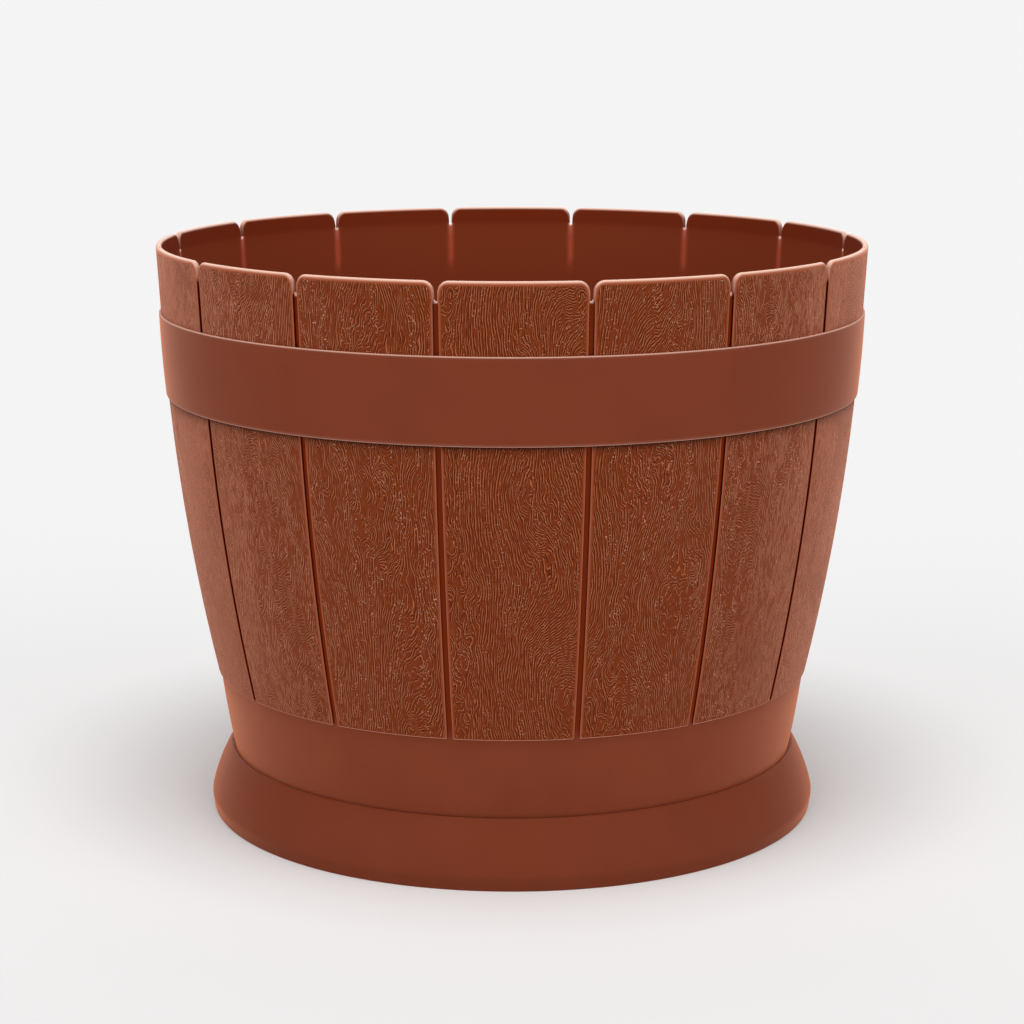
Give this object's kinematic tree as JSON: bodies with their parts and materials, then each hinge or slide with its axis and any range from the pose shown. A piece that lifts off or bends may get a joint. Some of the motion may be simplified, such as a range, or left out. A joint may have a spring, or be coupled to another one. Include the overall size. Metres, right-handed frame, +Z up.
{
  "type": "barrel planter",
  "caption": "Moulded plastic planter shaped as a tapered half barrel, with raised grained staves, a notched rim, a smooth hoop and a flared saucer that the pot lifts out of.",
  "frame": {"origin": "on the ground under the centre of the saucer", "axes": "+Z is up along the planter's axis; -Y is the front, where the middle of one stave faces; +X is to the right as seen from the front"},
  "size_m": [0.3798, 0.3798, 0.3093],
  "materials": {
    "pot_plastic": "red-brown moulded plastic, embossed with wood grain on the staves and smooth on the lower band",
    "hoop_plastic": "smooth satin red-brown plastic",
    "saucer_plastic": "smooth satin red-brown plastic"
  },
  "bodies": {
    "saucer": {"saucer": "saucer_plastic"},
    "pot": {"pot_shell": "pot_plastic", "upper_hoop": "hoop_plastic"}
  },
  "joints": [
    {"name": "pot_lift", "type": "slide", "parent": "saucer", "child": "pot", "axis": [0, 0, 1], "range_m": [0, 0.05]}
  ]
}
